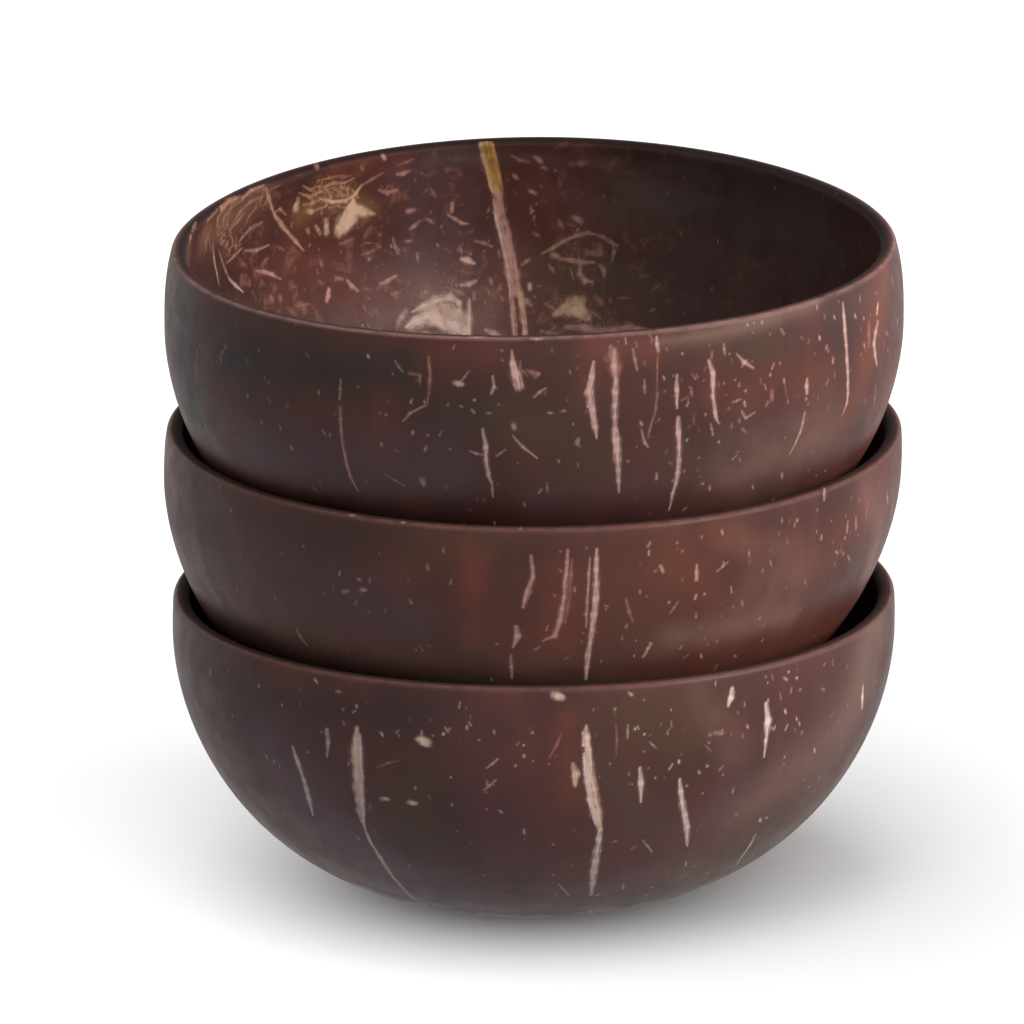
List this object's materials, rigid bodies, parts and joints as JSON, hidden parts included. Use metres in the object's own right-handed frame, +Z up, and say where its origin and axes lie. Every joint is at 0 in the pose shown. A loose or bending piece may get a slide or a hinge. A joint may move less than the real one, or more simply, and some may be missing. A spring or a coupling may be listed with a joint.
{
  "type": "coconut shell bowl stack",
  "caption": "Nested stack of deep round bowls, each a polished coconut shell with a sawn, eased rim, three soft ridges and a small sanded foot.",
  "frame": {"origin": "middle of the bottom bowl's sanded foot, on the surface that the stack stands on", "axes": "+Z up out of the bowls' mouths, front of the pictured view along -Y, +X to the right of that view"},
  "size_m": [0.1323, 0.1333, 0.1206],
  "materials": {
    "bottom_shell": "polished coconut shell, satin, with pale fibre streaks",
    "middle_shell": "polished coconut shell, satin, with pale fibre streaks",
    "top_shell": "polished coconut shell, satin, with pale fibre streaks"
  },
  "bodies": {
    "bottom": {"bottom_bowl": "bottom_shell"},
    "middle": {"middle_bowl": "middle_shell"},
    "top": {"top_bowl": "top_shell"}
  },
  "joints": [
    {"name": "middle_lift", "type": "slide", "parent": "bottom", "child": "middle", "axis": [0, 0, 1], "range_m": [0, 0.07]},
    {"name": "top_lift", "type": "slide", "parent": "middle", "child": "top", "axis": [0, 0, 1], "range_m": [0, 0.07]}
  ]
}
